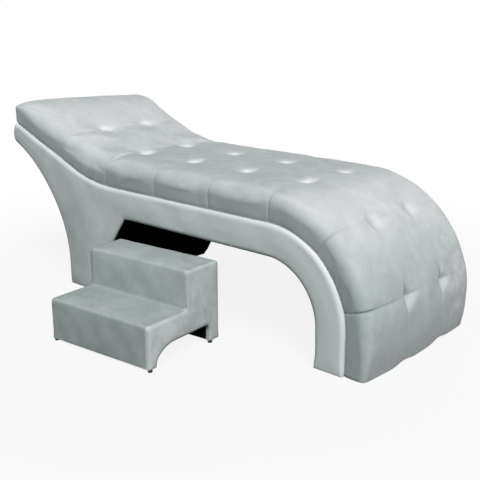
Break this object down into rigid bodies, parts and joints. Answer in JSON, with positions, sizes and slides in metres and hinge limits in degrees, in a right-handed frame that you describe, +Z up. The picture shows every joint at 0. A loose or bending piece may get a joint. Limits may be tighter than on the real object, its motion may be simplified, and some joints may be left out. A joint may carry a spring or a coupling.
{
  "type": "beauty treatment bed",
  "caption": "Low treatment bed with a tufted one-piece pad over a raised head rest and a rounded foot drop, on a fabric-covered base, with a matching two-tread step stool.",
  "frame": {"origin": "bottom centre of the whole set, bed and step stool, on the floor", "axes": "+X towards the foot end of the bed, +Y to the far side away from the stool, +Z up"},
  "size_m": [1.8712, 1.1266, 0.7489],
  "materials": {
    "velvet": "matte",
    "black_lining": "matte",
    "foam": "matte",
    "twine": "matte",
    "plywood": "matte",
    "pine": "matte",
    "screw_steel": "satin",
    "black_plastic": "satin"
  },
  "bodies": {
    "bed": {"bed_glides": "black_plastic", "deck_board": "plywood", "deck_rail_1": "pine", "deck_rail_2": "pine", "deck_rail_3": "pine", "deck_rail_4": "pine", "deck_rail_5": "pine", "deck_rail_6": "pine", "deck_rail_7": "pine", "deck_rail_8": "pine", "deck_rail_9": "pine", "far_side_cover": "velvet", "far_side_foam": "foam", "far_side_panel": "plywood", "foot_leg_dust_cover": "black_lining", "foot_leg_floor_rail": "pine", "frame_screws": "screw_steel", "head_end_board": "plywood", "head_end_cover": "velvet", "head_leg_dust_cover": "black_lining", "head_leg_floor_rail": "pine", "head_leg_stretcher": "pine", "near_side_cover": "velvet", "near_side_foam": "foam", "near_side_panel": "plywood", "pad_base_foam": "foam", "pad_cover": "velvet", "pad_topper_foam": "foam", "tuft_anchors": "plywood", "tuft_ties": "twine", "underside_dust_cover": "black_lining", "underside_rail_foot": "pine", "underside_rail_head": "pine"},
    "step": {"step_back_board": "plywood", "step_glides": "black_plastic", "step_left_cover": "velvet", "step_left_panel": "plywood", "step_lining": "black_lining", "step_lower_foam": "foam", "step_lower_riser_board": "plywood", "step_lower_tread_board": "plywood", "step_right_cover": "velvet", "step_right_panel": "plywood", "step_screws": "screw_steel", "step_upper_foam": "foam", "step_upper_riser_board": "plywood", "step_upper_tread_board": "plywood", "step_wrap_cover": "velvet"}
  },
  "joints": [
    {"name": "step_slide", "type": "slide", "parent": "bed", "child": "step", "axis": [0, 1, 0], "range_m": [-0.25, 0.42]}
  ]
}
